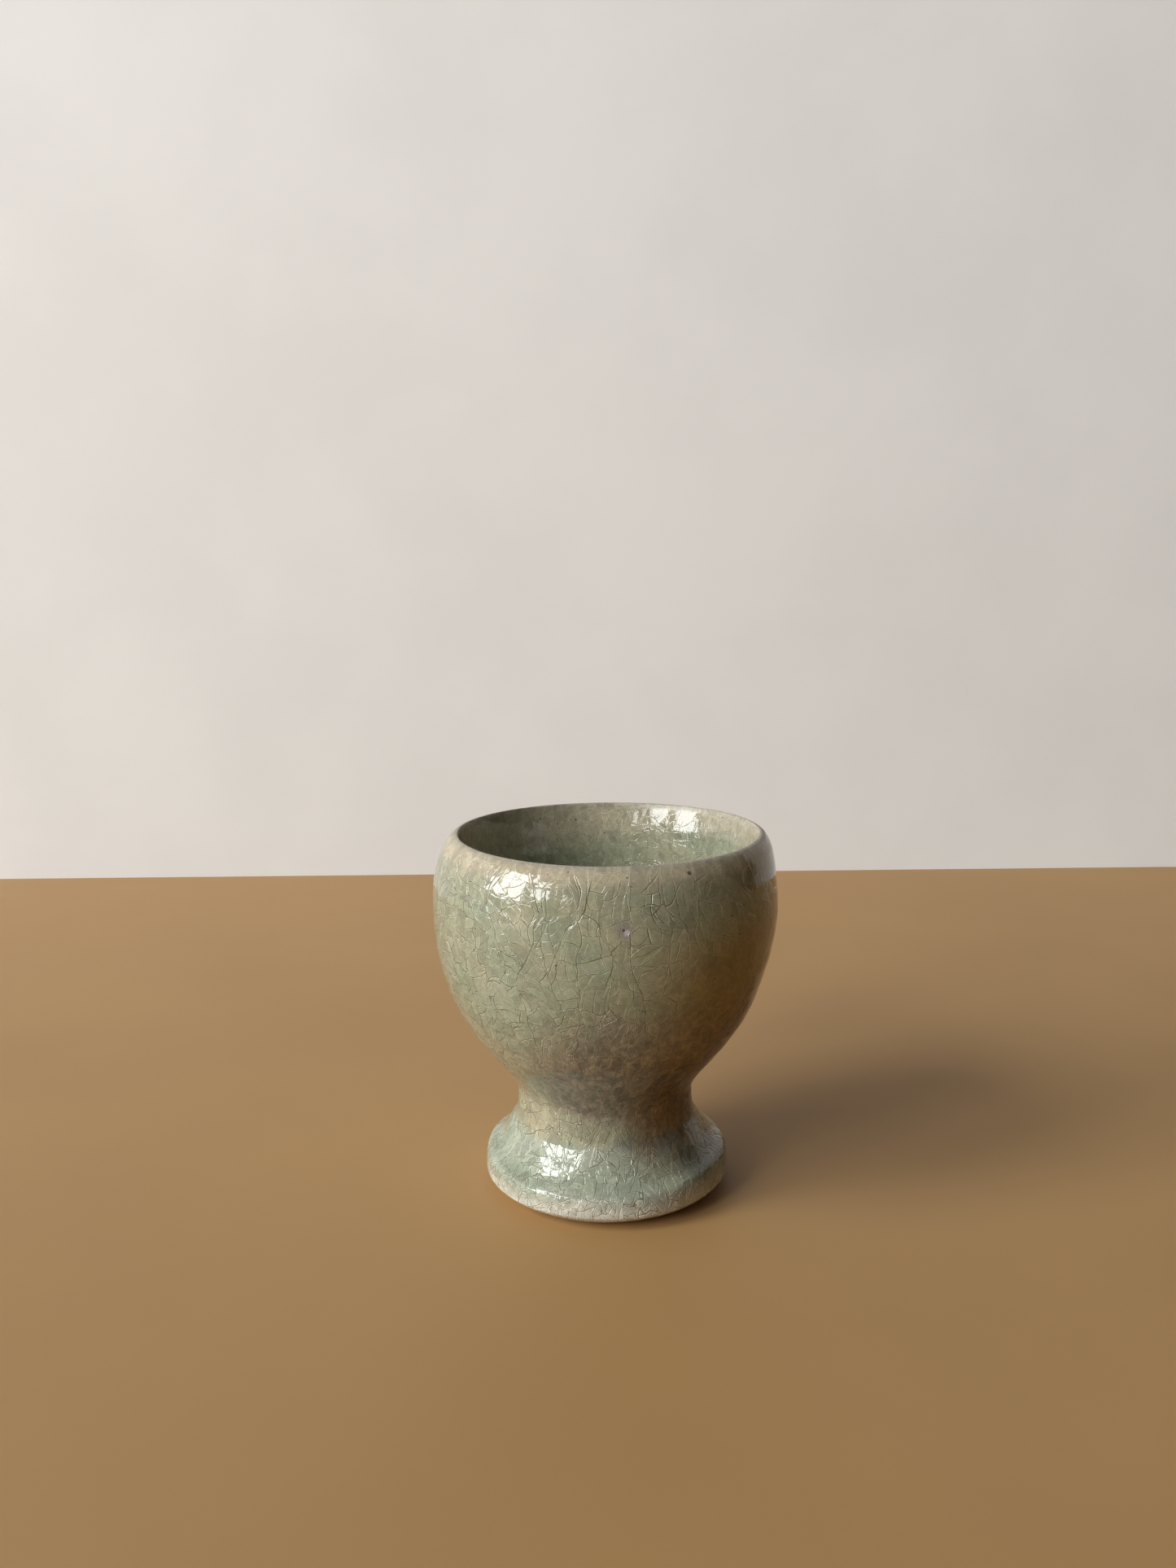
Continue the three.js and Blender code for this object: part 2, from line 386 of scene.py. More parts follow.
# %% Where the cracks are fine, and where they show
# Fine cracks between the broad ones: on the left of the bowl, below the belly, and over the foot.
fine_left = 0.6 * on_side(15, 45, -1) * smoothstep(height, 30, 40)
fine_low = 0.8 * (1 - smoothstep(height, 30, 38))
few_on_lip = 0.3 * smoothstep(height, 50, 53)
zones["fine"] = np.where(outside, np.clip(0.3 + fine_left + fine_low - few_on_lip, 0, 1), 0.7)

# Cracks show less on the right of the bowl and in the smoky zone with its painted shade, and hardly at all on
# the lip.
fainter_right = (0.65 * on_side(8, 45) + 0.2 * on_side(48, 65)) * smoothstep(height, 20, 30)
fainter_foot = 0.95 + 0.05 * smoothstep(height, 9, 14)
relief_outside = np.clip(1 - fainter_right - 0.5 * zones["smoke_and_shade"], 0, 1) * fainter_foot
on_lip = smoothstep(height, np.where(outside, 53.6, 52.5), np.where(outside, 55.6, 55.5))
zones["relief"] = np.where(outside, relief_outside, 0.4) * (1 - 0.9 * on_lip)

# %% Store the zones on the mesh
for name, values in zones.items():
    attribute = cup_mesh.attributes.new(name, "FLOAT", "POINT")
    table = np.append(np.broadcast_to(values, radius.shape).ravel(), [0.0, values[-1, 0]])
    attribute.data.foreach_set("value", table.astype(np.float32))
    print(name, "covers", round(float((values > 0.5).mean()), 2), "of the cup")

# %% [markdown]
# ## The space of the cracks
#
# The net of cracks is made in a space of its own. It is wider than the real one round the stem and the foot,
# where the cracks are finer. Its height is squeezed at the lip and the foot's edge, where the glaze stretched
# as it ran and the cracks are long and upright. Its heights are running totals, so nothing jumps.
#
# The place of every point in that space is stored on the mesh too, as a vector.

# %% Place of every point in the net of cracks
NET_SHIFT = 30  # picks the stretch of the net that lies on the cup
LIP_STARTS, LIP_DEEP, LIP_SQUEEZE = 49.5, 6.6, 0.62
EDGE_ENDS, EDGE_SQUEEZE = 6.5, 0.55


def running_total(density):
    """The sum of a density over the height, from the bottom up, at every point of the cup."""
    levels = np.linspace(-1, 58, 591)
    totals = np.cumsum(density(levels)) * (levels[1] - levels[0])
    return np.interp(height, levels, totals)


def fineness(level):
    """How many times finer the cracks are than on the bowl."""
    return 1.1 - 0.1 * smoothstep(level, 8, 40)


def upright_density(level):
    """The same for the height alone, with long upright cracks at the lip and the foot's edge."""
    at_lip = LIP_SQUEEZE * np.maximum(0, level - LIP_STARTS) / LIP_DEEP
    at_edge = EDGE_SQUEEZE * np.maximum(0, EDGE_ENDS - level) / EDGE_ENDS
    return fineness(level) - at_lip - at_edge


net_scale = np.where(outside, fineness(height), 1)
net_height = np.where(outside, running_total(upright_density), running_total(np.ones_like)) + NET_SHIFT
net_place = np.stack([x * net_scale, y * net_scale, net_height], -1).reshape(-1, 3)
net_place = np.vstack([net_place, [bottom], [top]])
attribute = cup_mesh.attributes.new("net_place", "FLOAT_VECTOR", "POINT")
attribute.data.foreach_set("vector", net_place.astype(np.float32).ravel())
print("the net is", round(float(np.ptp(net_place[:, 2])), 1), "mm tall in its own space")

# %% [markdown]
# ## Small helpers for building node trees
#
# A node tree can be drawn by hand in the Shader Editor. Written as code, each node takes three lines, so
# these helpers make one node per call and hand back its output, ready to go into the next one.

# %% Node helpers
def add(tree, kind, inputs, output=0, **settings):
    """One node. Inputs are numbers, tuples or other outputs, named or numbered as on the node."""
    made = tree.nodes.new(kind)
    for key, value in settings.items():
        setattr(made, key, value)
    for key, value in inputs.items():
        socket = made.inputs[key]
        if isinstance(value, bpy.types.NodeSocket):
            tree.links.new(value, socket)
        else:
            socket.default_value = value
    return made.outputs[output]


def calc(tree, operation, first, second=0.0, third=0.0, clamp=False):
    return add(tree, "ShaderNodeMath", {0: first, 1: second, 2: third}, operation=operation, use_clamp=clamp)


def vector_calc(tree, operation, first, second=(0, 0, 0), output="Vector"):
    return add(tree, "ShaderNodeVectorMath", {0: first, 1: second}, output, operation=operation)


def scaled(tree, vector, factor):
    return add(tree, "ShaderNodeVectorMath", {"Vector": vector, "Scale": factor}, operation="SCALE")


def fade(tree, value, low, high, start=0.0, end=1.0):
    """Smoothly from start to end as the value goes from low to high."""
    return add(
        tree, "ShaderNodeMapRange",
        {"Value": value, "From Min": low, "From Max": high, "To Min": start, "To Max": end},
        interpolation_type="SMOOTHSTEP",
    )


def blend(tree, factor, first, second, way="MIX"):
    """Mixes two colours."""
    return add(
        tree, "ShaderNodeMix", {0: factor, 6: first, 7: second}, 2, data_type="RGBA", blend_type=way,
    )


def clouds(tree, place, size, detail=2.0, output="Fac"):
    """Noise whose blobs are about this many millimetres across."""
    return add(
        tree, "ShaderNodeTexNoise", {"Vector": place, "Scale": 1 / size, "Detail": detail}, output,
        noise_dimensions="3D",
    )


def painted(tree, name, output="Fac"):
    """Reads one of the zones stored on the mesh."""
    return add(tree, "ShaderNodeAttribute", {}, output, attribute_name=name)


def new_group(name, inputs, outputs):
    """An empty node group with named sockets, each name with its kind and, for an input, its value."""
    group = bpy.data.node_groups.new(name, "ShaderNodeTree")
    for title, (kind, value) in inputs.items():
        socket = group.interface.new_socket(title, in_out="INPUT", socket_type="NodeSocket" + kind)
        if value is not None:
            socket.default_value = value
    for title, kind in outputs.items():
        group.interface.new_socket(title, in_out="OUTPUT", socket_type="NodeSocket" + kind)
    start = group.nodes.new("NodeGroupInput")
    end = group.nodes.new("NodeGroupOutput")
    return group, start.outputs, end.inputs


def use(tree, group, inputs):
    """Puts a group into a tree and hands back its outputs."""
    made = tree.nodes.new("ShaderNodeGroup")
    made.node_tree = group
    for key, value in inputs.items():
        if isinstance(value, bpy.types.NodeSocket):
            tree.links.new(value, made.inputs[key])
        else:
            made.inputs[key].default_value = value
    return made.outputs


# %% [markdown]
# ## The first, longest cracks
#
# Cracks in a glaze part it into plates. A Voronoi texture does the same: it parts space into cells round
# scattered points. The crack between two cells lies where the nearest and the second nearest point are
# equally far, so its distance follows from those two points.
#
# The cells are solid, and the surface cuts through them. Where it cuts a border at a slant, the crack would
# look too wide, so its distance is divided by how squarely the border meets the surface. The space can be
# squeezed along its axes to make longer cells, and the step between the points is squeezed again, which
# gives the border's direction in the real space.

# %% Node group: plates
def squareness(tree, direction, surface):
    """1 where a border meets the surface squarely, and less where it lies slanted, down to a seventh."""
    slanted = vector_calc(tree, "DOT_PRODUCT", direction, surface, "Value")
    square = calc(tree, "SUBTRACT", 1.0, calc(tree, "POWER", slanted, 2.0))
    return calc(tree, "SQRT", calc(tree, "MAXIMUM", square, 0.02))


plates, given, result = new_group(
    "plates",
    {
        "Place": ("Vector", None), "Surface": ("Vector", None), "Squeeze": ("Vector", None),
        "Size": ("Float", 6.0),
    },
    {"Edge": "Float", "Tilt": "Float", "Random": "Vector", "Middle": "Vector"},
)
squeezed = vector_calc(plates, "MULTIPLY", given["Place"], given["Squeeze"])
place = scaled(plates, squeezed, calc(plates, "DIVIDE", 1.0, given["Size"]))
nearest = plates.nodes.new("ShaderNodeTexVoronoi")
second = plates.nodes.new("ShaderNodeTexVoronoi")
second.feature = "F2"
for cells in (nearest, second):
    plates.links.new(place, cells.inputs["Vector"])
    cells.inputs["Scale"].default_value = 1.0
    cells.inputs["Randomness"].default_value = 0.9
between = vector_calc(plates, "SUBTRACT", second.outputs["Position"], nearest.outputs["Position"])
between = vector_calc(plates, "MULTIPLY", between, given["Squeeze"])
apart = vector_calc(plates, "LENGTH", between, output="Value")
near_squared = calc(plates, "POWER", nearest.outputs["Distance"], 2.0)
far_squared = calc(plates, "POWER", second.outputs["Distance"], 2.0)
gap = calc(plates, "SUBTRACT", far_squared, near_squared)
to_border = calc(plates, "DIVIDE", gap, calc(plates, "MULTIPLY", apart, 2.0))
square = squareness(plates, vector_calc(plates, "NORMALIZE", between), given["Surface"])
edge = calc(plates, "MULTIPLY", calc(plates, "DIVIDE", to_border, square), given["Size"])
plates.links.new(edge, result["Edge"])
random_lean = vector_calc(plates, "SUBTRACT", nearest.outputs["Color"], (0.5, 0.5, 0.5))
from_middle = vector_calc(plates, "SUBTRACT", place, nearest.outputs["Position"])
tilt = vector_calc(plates, "DOT_PRODUCT", random_lean, from_middle, "Value")
plates.links.new(calc(plates, "MULTIPLY", tilt, given["Size"]), result["Tilt"])
plates.links.new(nearest.outputs["Color"], result["Random"])
plates.links.new(nearest.outputs["Position"], result["Middle"])

# %% [markdown]
# ## Cracks that end on older ones
#
# A later crack runs across one plate and stops at its edges, like the rungs of a ladder. Every plate is cut
# into strips: a one-dimensional Voronoi texture gives strips of uneven width, and distances to their edges.
# Each plate's own random colour turns and shifts its strips, so no crack carries on into the next plate.
#
# The colour of the strip is mixed into a new random colour, so the group can be used again on its own
# result, for finer and finer cracks.

# %% Node group: split
split, given, result = new_group(
    "split",
    {
        "Place": ("Vector", None), "Surface": ("Vector", None), "Across": ("Vector", None),
        "Random": ("Vector", None), "Stray": ("Float", 1.0), "Spacing": ("Float", 3.0),
    },
    {"Edge": "Float", "Tilt": "Float", "Random": "Vector"},
)
off_centre = vector_calc(split, "SUBTRACT", given["Random"], (0.5, 0.5, 0.5))
across = vector_calc(split, "ADD", given["Across"], scaled(split, off_centre, given["Stray"]))
across = vector_calc(split, "NORMALIZE", across)
along = vector_calc(split, "DOT_PRODUCT", given["Place"], across, "Value")
along = calc(split, "DIVIDE", along, given["Spacing"])
shift = vector_calc(split, "DOT_PRODUCT", given["Random"], (31, 17, 23), "Value")
along = calc(split, "ADD", along, shift)
strips = split.nodes.new("ShaderNodeTexVoronoi")
borders = split.nodes.new("ShaderNodeTexVoronoi")
borders.feature = "DISTANCE_TO_EDGE"
for cells in (strips, borders):
    cells.voronoi_dimensions = "1D"
    split.links.new(along, cells.inputs["W"])
    cells.inputs["Scale"].default_value = 1.0
    cells.inputs["Randomness"].default_value = 0.85
square = squareness(split, across, given["Surface"])
to_border = calc(split, "MULTIPLY", borders.outputs["Distance"], given["Spacing"])
split.links.new(calc(split, "DIVIDE", to_border, square), result["Edge"])
strip_lean = add(split, "ShaderNodeSeparateColor", {"Color": strips.outputs["Color"]}, "Red")
strip_lean = calc(split, "SUBTRACT", strip_lean, 0.5)
from_middle = calc(split, "SUBTRACT", along, strips.outputs["W"])
from_middle = calc(split, "MULTIPLY", from_middle, given["Spacing"])
split.links.new(calc(split, "MULTIPLY", from_middle, strip_lean), result["Tilt"])
mixed = vector_calc(split, "ADD", scaled(split, given["Random"], 5.3), strips.outputs["Color"])
split.links.new(vector_calc(split, "FRACTION", mixed), result["Random"])

# %% [markdown]
# ## The whole crackle
#
# Long cracks run up the bowl first. Rungs cross between them, and then uprights and rungs in turn, finer
# each time and not in every plate. From each come a dark line, where soot and tea stain the crack, a paler
# rim beside it, which is a painted highlight of the crack's edge, and a relief: a groove at the crack, and a
# plate that is tilted by a degree or two. The tilt is what breaks a window's reflection into pieces.

# %% Node group: crackle
crackle, given, result = new_group(
    "crackle",
    {
        "Place": ("Vector", None), "Surface": ("Vector", None), "Size": ("Float", 4.0),
        "Fineness": ("Float", 0.5), "Line Width": ("Float", 0.06), "Depth": ("Float", 0.04),
    },
    {"Line": "Float", "Rim Highlight": "Float", "Relief": "Float", "Tone": "Float"},
)

# Cracks wander: the space is bent by clouds, broad bends first, each with its size and how far it bends.
bent = given["Place"]
for size, far in ((10.0, 5.0), (4.0, 1.7), (1.4, 0.28)):
    wind = clouds(crackle, given["Place"], size, 1.0, "Color")
    wind = vector_calc(crackle, "SUBTRACT", wind, (0.5, 0.5, 0.5))
    bent = vector_calc(crackle, "ADD", bent, scaled(crackle, wind, far))

# The broad plates are upright: squeezing the height makes them almost three times as tall as they are wide.
net = use(
    crackle, plates,
    {"Place": bent, "Surface": given["Surface"], "Squeeze": (1.0, 1.0, 0.36), "Size": given["Size"]},
)

# Strips that follow each other up the wall are parted by rungs. Strips that follow each other round the cup,
# in the level direction at the middle of the plate, are parted by uprights.
up = (0, 0, 1)
sideways = vector_calc(crackle, "NORMALIZE", vector_calc(crackle, "CROSS_PRODUCT", up, net["Middle"]))
more = calc(crackle, "ADD", given["Fineness"], 0.35, clamp=True)

# Every row: which way the strips follow each other, how far that strays, their width as a share of the size,
# how many plates are cut, how strong and how bold the cracks are, how far the plates tilt and how much they
# differ in tone.
line, rim_highlight, groove, tilted, tone = 0.0, 0.0, 1.0, 0.0, 0.0
random_colour = net["Random"]
for across, stray, share, cut, power, bold, lean, darker in (
    (None, None, None, 1.0, 1.0, 1.2, 0.03, 0.1),
    (up, 1.3, 0.62, 1.0, 1.0, 1.1, 0.05, 0.4),
    (sideways, 1.1, 0.42, 0.97, 1.0, 1.0, 0.08, 0.8),
    (up, 1.3, 0.36, 0.95, more, 0.9, 0.11, 1.3),
    (sideways, 1.5, 0.25, 0.85, given["Fineness"], 0.8, 0.15, 1.6),
):
    width = calc(crackle, "MULTIPLY", given["Line Width"], bold)
    core, wide = calc(crackle, "MULTIPLY", width, 0.3), calc(crackle, "MULTIPLY", width, 3.0)
    if across is not None:
        settings = {
            "Place": bent, "Surface": given["Surface"], "Across": across, "Random": random_colour,
            "Stray": stray, "Spacing": calc(crackle, "MULTIPLY", given["Size"], share),
        }
        chance = add(crackle, "ShaderNodeSeparateColor", {"Color": random_colour}, "Blue")
        power = calc(crackle, "MULTIPLY", power, calc(crackle, "LESS_THAN", chance, cut))
        net = use(crackle, split, settings)
        random_colour = net["Random"]
    crack = fade(crackle, net["Edge"], core, width, 1.0, 0.0)
    line = calc(crackle, "MAXIMUM", line, calc(crackle, "MULTIPLY", crack, power))
    # A paler rim beside the crack: a painted highlight of its edge.
    beside = fade(crackle, net["Edge"], width, wide, 1.0, 0.0)
    rim_highlight = calc(crackle, "MAXIMUM", rim_highlight, calc(crackle, "MULTIPLY", beside, power))
    cut_in = fade(crackle, net["Edge"], 0.0, 0.11 * bold, 1.0, 0.0)
    left_whole = calc(crackle, "SUBTRACT", 1.0, calc(crackle, "MULTIPLY", cut_in, power))
    groove = calc(crackle, "MINIMUM", groove, left_whole)
    lift = calc(crackle, "MULTIPLY", calc(crackle, "MULTIPLY", net["Tilt"], lean), power)
    tilted = calc(crackle, "ADD", tilted, lift)
    shade = add(crackle, "ShaderNodeSeparateColor", {"Color": random_colour}, "Green")
    shade = calc(crackle, "MULTIPLY", calc(crackle, "SUBTRACT", shade, 0.5), darker)
    tone = calc(crackle, "ADD", tone, calc(crackle, "MULTIPLY", shade, power))
relief = calc(crackle, "MULTIPLY", groove, calc(crackle, "ADD", tilted, given["Depth"]))
crackle.links.new(calc(crackle, "SUBTRACT", rim_highlight, line), result["Rim Highlight"])
crackle.links.new(line, result["Line"])
crackle.links.new(relief, result["Relief"])
crackle.links.new(tone, result["Tone"])

# %% [markdown]
# ## Iron specks and single marks
#
# Grains of iron in the clay melt into the glaze as small dark dots. Each is a small ball in space that the
# surface cuts through, so the dots differ in size by themselves. Most cells of the texture stay empty.
#
# A single larger mark is one such ball, placed where the cup has an iron spot or a pinhole.

# %% Node groups: iron specks and a single mark
specks, given, result = new_group(
    "iron_specks",
    {
        "Place": ("Vector", None), "Spacing": ("Float", 3.0), "Radius": ("Float", 0.2),
        "Share": ("Float", 0.3),
    },
    {"Speck": "Float"},
)
grain = specks.nodes.new("ShaderNodeTexVoronoi")
cell_place = scaled(specks, given["Place"], calc(specks, "DIVIDE", 1.0, given["Spacing"]))
specks.links.new(cell_place, grain.inputs["Vector"])
grain.inputs["Scale"].default_value = 1.0
lucky = add(specks, "ShaderNodeSeparateColor", {"Color": grain.outputs["Color"]}, "Red")
chosen = calc(specks, "LESS_THAN", lucky, given["Share"])
away = calc(specks, "MULTIPLY", grain.outputs["Distance"], given["Spacing"])
dot = fade(specks, away, calc(specks, "MULTIPLY", given["Radius"], 0.5), given["Radius"], 1.0, 0.0)
specks.links.new(calc(specks, "MULTIPLY", dot, chosen), result["Speck"])

mark, given, result = new_group(
    "mark",
    {
        "Place": ("Vector", None), "Centre": ("Vector", None), "Radius": ("Float", 0.4),
        "Softness": ("Float", 0.5),
    },
    {"Mark": "Float"},
)
away = vector_calc(mark, "DISTANCE", given["Place"], given["Centre"], "Value")
ragged = calc(mark, "SUBTRACT", clouds(mark, given["Place"], 0.5, 1.0), 0.5)
ragged = calc(mark, "MULTIPLY", calc(mark, "MULTIPLY", ragged, 0.6), given["Radius"])
away = calc(mark, "ADD", away, ragged)
inner = calc(mark, "MULTIPLY", given["Radius"], calc(mark, "SUBTRACT", 1.0, given["Softness"]))
mark.links.new(fade(mark, away, inner, given["Radius"], 1.0, 0.0), result["Mark"])


def on_wall(angle, at_height, inner_side=False):
    """The point of the wall at an angle from the front and a height, in millimetres."""
    turned = (front - math.radians(angle) + np.pi) % (2 * np.pi) - np.pi
    away = np.abs(turned) * 25 + np.abs(z - at_height) + 1000 * (is_inside != inner_side)
    return tuple(1000 * float(v) for v in vertices[int(np.argmin(away))])


print(len(bpy.data.node_groups), "node groups made")

# %% [markdown]
# ## The celadon glaze
#
# The colour is built up as the glaze is: a buff body seen through a grey-green glass. Mottling comes from
# clouds of four sizes. Then come the painted zones, each broken up by such clouds so that it has no soft
# airbrushed border, then the cracks and the specks.
#
# The glaze is glass, so it is smooth and clear at the surface where it is thick. It is satin at the lip, and
# a little duller in the smoky zone, which also holds painted shade.

# %% Material: celadon glaze
glaze = bpy.data.materials.new("celadon_glaze")
glaze.use_nodes = True
tree = glaze.node_tree
shader = tree.nodes["Principled BSDF"]
shader.inputs["IOR"].default_value = 1.56

coordinates = tree.nodes.new("ShaderNodeTexCoord")
surface = coordinates.outputs["Normal"]
place = scaled(tree, coordinates.outputs["Object"], 1000.0)
net_place = painted(tree, "net_place", "Vector")
thin, dry_lip = painted(tree, "thin"), painted(tree, "dry_lip")
pale_foot_and_floor_light, smoke_and_shade = painted(tree, "pale_foot_and_floor_light"), painted(tree, "smoke_and_shade")
green, blue, mint = painted(tree, "green"), painted(tree, "blue"), painted(tree, "mint")
painted_warm_shade, painted_inside_shade = painted(tree, "painted_warm_shade"), painted(tree, "painted_inside_shade")
fine, relief_zone = painted(tree, "fine"), painted(tree, "relief")

crack = use(tree, crackle, {"Place": net_place, "Surface": surface, "Fineness": fine})

broad = clouds(tree, place, 9.0, 3.0)
middle = clouds(tree, vector_calc(tree, "ADD", place, (20, 0, 0)), 2.6, 3.0)
small = clouds(tree, vector_calc(tree, "ADD", place, (0, 50, 0)), 0.8, 3.0)
grain = clouds(tree, vector_calc(tree, "ADD", place, (0, 0, 90)), 0.3, 2.0)


def broken(zone, by, low=0.35, high=0.65, amount=0.6):
    """A painted zone with a ragged border: the cloud is added before the border is drawn."""
    rough = calc(tree, "ADD", zone, calc(tree, "MULTIPLY", calc(tree, "SUBTRACT", by, 0.5), amount))
    return fade(tree, rough, low, high)


def layer(under, share, over, strength=1.0):
    """One more colour over what is there, where the share is 1."""
    if strength != 1.0:
        share = calc(tree, "MULTIPLY", share, strength)
    return blend(tree, share, under, over)


def dimmed(under, factor):
    """The colour times a number that differs over the surface."""
    grey = add(tree, "ShaderNodeCombineColor", {0: factor, 1: factor, 2: factor})
    return blend(tree, 1.0, under, grey, "MULTIPLY")


# The glaze by itself, with broad patches more buff or more grey green.
BUFF, GREY_GREEN, PALE_BUFF = (0.43, 0.415, 0.275, 1), (0.37, 0.40, 0.27, 1), (0.47, 0.45, 0.31, 1)
colour = blend(tree, fade(tree, broad, 0.35, 0.65), BUFF, GREY_GREEN)
colour = layer(colour, fade(tree, middle, 0.35, 0.7, 0.0, 0.5), PALE_BUFF)

# Thick and thin glaze.
MINT, POOL_GREEN, CREAM_AND_FLOOR_LIGHT = (0.50, 0.56, 0.44, 1), (0.32, 0.375, 0.25, 1), (0.86, 0.83, 0.70, 1)
THIN_TAN, DRY_TAN = (0.60, 0.515, 0.36, 1), (0.50, 0.44, 0.34, 1)
colour = layer(colour, broken(mint, broad, 0.1, 0.9, 0.8), MINT, 0.6)
colour = layer(colour, broken(green, middle, 0.3, 0.9, 0.8), POOL_GREEN, 0.55)
# The pale foot edge: pale glaze, with painted warm light from the floor.
colour = layer(colour, broken(pale_foot_and_floor_light, middle, 0.0, 1.0, 0.6), CREAM_AND_FLOOR_LIGHT)
colour = layer(colour, broken(thin, middle, 0.1, 1.0, 0.5), THIN_TAN, 0.9)
colour = layer(colour, dry_lip, DRY_TAN, 0.7)

# Smoke with painted shade, in clouds that are a little taller than wide, then the blue of the foot and the
# painted warm shade on the right side.
DARK_SMOKE_AND_SHADE, PALE_SMOKE_AND_SHADE = (0.16, 0.135, 0.11, 1), (0.30, 0.25, 0.18, 1)
BLUE_GREY, WARM_SHADE_TINT = (0.22, 0.24, 0.235, 1), (0.78, 0.54, 0.24, 1)
smoke_and_shade_clouds = clouds(tree, vector_calc(tree, "MULTIPLY", place, (1, 1, 0.6)), 1.7, 3.0)
smoke_and_shade_colour = blend(tree, fade(tree, smoke_and_shade_clouds, 0.34, 0.66), DARK_SMOKE_AND_SHADE, PALE_SMOKE_AND_SHADE)
smoke_and_shade_colour = dimmed(smoke_and_shade_colour, fade(tree, small, 0.35, 0.7, 0.95, 1.3))
# Smoke, and painted shade in front and on the right.
colour = layer(colour, broken(smoke_and_shade, smoke_and_shade_clouds, 0.0, 1.0, 0.6), smoke_and_shade_colour, 0.9)
colour = layer(colour, broken(blue, middle, 0.3, 0.9, 0.8), BLUE_GREY, 0.7)
# Painted warm shade: the colour is multiplied browner on the right, away from the window.
colour = blend(tree, broken(painted_warm_shade, broad, 0.0, 1.0, 0.4), colour, WARM_SHADE_TINT, "MULTIPLY")

# Mottling, the painted shade inside the bowl, and the crackle: plates that differ in tone, with paler rims
# that are painted highlights.
colour = dimmed(colour, fade(tree, small, 0.3, 0.7, 0.91, 1.08))
colour = dimmed(colour, fade(tree, grain, 0.3, 0.7, 0.92, 1.07))
# Painted shade inside the bowl.
colour = dimmed(colour, fade(tree, painted_inside_shade, 0.0, 1.0, 1.0, 0.82))
colour = dimmed(colour, fade(tree, crack["Tone"], -1.2, 1.2, 0.67, 0.89))
# Painted highlight: a paler rim along each crack, where its edge would catch the light.
colour = dimmed(colour, calc(tree, "ADD", 1.0, calc(tree, "MULTIPLY", crack["Rim Highlight"], 0.34)))

# Stain in the cracks.
CRACK_STAIN = (0.10, 0.085, 0.055, 1)
stain = calc(tree, "MULTIPLY", relief_zone, 0.68)
colour = layer(colour, calc(tree, "MULTIPLY", crack["Line"], stain), CRACK_STAIN)

# %% Iron specks and the pinhole
IRON, SPOT_IRON = (0.05, 0.035, 0.025, 1), (0.07, 0.055, 0.04, 1)
pepper = use(tree, specks, {"Place": place, "Spacing": 2.6, "Radius": 0.18, "Share": 0.3})["Speck"]
colour = layer(colour, pepper, IRON, 0.75)


def one_mark(angle, at_height, radius_of_mark, softness=0.5, inner_side=False):
    """A single mark on the wall, as a mask."""
    centre = on_wall(angle, at_height, inner_side)
    settings = {"Place": place, "Centre": centre, "Radius": radius_of_mark, "Softness": softness}
    return use(tree, mark, settings)["Mark"]


# The iron spot and the larger specks, most of them near the lip: angle, height, inside or not, radius.
iron_spots = 0.0
for angle, at_height, inner_side, wide in (
    (26.3, 54.0, False, 0.42), (41.7, 47.6, False, 0.22), (35.7, 38.8, False, 0.2), (-14, 54.6, False, 0.14),
    (-21, 54.3, False, 0.12), (-150, 54.8, True, 0.24), (-158, 53.4, True, 0.18), (-167, 54.0, True, 0.2),
    (123, 55.6, True, 0.2),
):
    iron_spots = calc(tree, "MAXIMUM", iron_spots, one_mark(angle, at_height, wide, inner_side=inner_side))
colour = layer(colour, iron_spots, SPOT_IRON, 0.8)

# A pinhole where gas broke through the glaze, in a violet halo, with a pale bubble beside it.
hole = one_mark(4.5, 47.2, 0.3, 0.9)
colour = layer(colour, one_mark(4.6, 47.2, 2.0, 0.9), (0.24, 0.20, 0.20, 1), 0.6)
colour = layer(colour, one_mark(5.6, 47.0, 0.65, 0.8), (0.60, 0.56, 0.62, 1), 0.9)
colour = layer(colour, hole, (0.05, 0.04, 0.05, 1), 0.9)
tree.links.new(colour, shader.inputs["Base Color"])

# %% Gloss and relief of the glaze
gloss = fade(tree, dry_lip, 0.0, 1.0, 0.04, 0.42)
gloss = calc(tree, "ADD", gloss, calc(tree, "MULTIPLY", smoke_and_shade, 0.12))
tree.links.new(gloss, shader.inputs["Roughness"])

# All heights are millimetres: the crackle, then waves, grit and sand that are stronger in the smoky and
# shaded zone and where the warm shade is painted on the right, and the pinhole.
heights = calc(tree, "MULTIPLY", crack["Relief"], relief_zone)
wavy = calc(tree, "ADD", 0.03, calc(tree, "MULTIPLY", painted_warm_shade, 0.04))
heights = calc(tree, "ADD", heights, calc(tree, "MULTIPLY", middle, wavy))
gritty = calc(tree, "MULTIPLY", calc(tree, "ADD", smoke_and_shade, calc(tree, "MULTIPLY", painted_warm_shade, 0.4)), 0.03)
gritty = calc(tree, "ADD", 0.005, gritty)
heights = calc(tree, "ADD", heights, calc(tree, "MULTIPLY", small, gritty))
heights = calc(tree, "ADD", heights, calc(tree, "MULTIPLY", grain, 0.003))
heights = calc(tree, "SUBTRACT", heights, calc(tree, "MULTIPLY", hole, 0.08))
bump = add(tree, "ShaderNodeBump", {"Strength": 1.0, "Distance": 0.001, "Height": heights}, "Normal")
tree.links.new(bump, shader.inputs["Normal"])
cup_mesh.materials.append(glaze)
print("the glaze has", len(tree.nodes), "nodes")

# %% [markdown]
# ## The bare foot ring
#
# The potter wipes the glaze off the ring that the cup stands on, or it would stick to the kiln shelf. The
# clay there is dull, pinkish buff and a little sandy. It uses the same group of specks as the glaze.

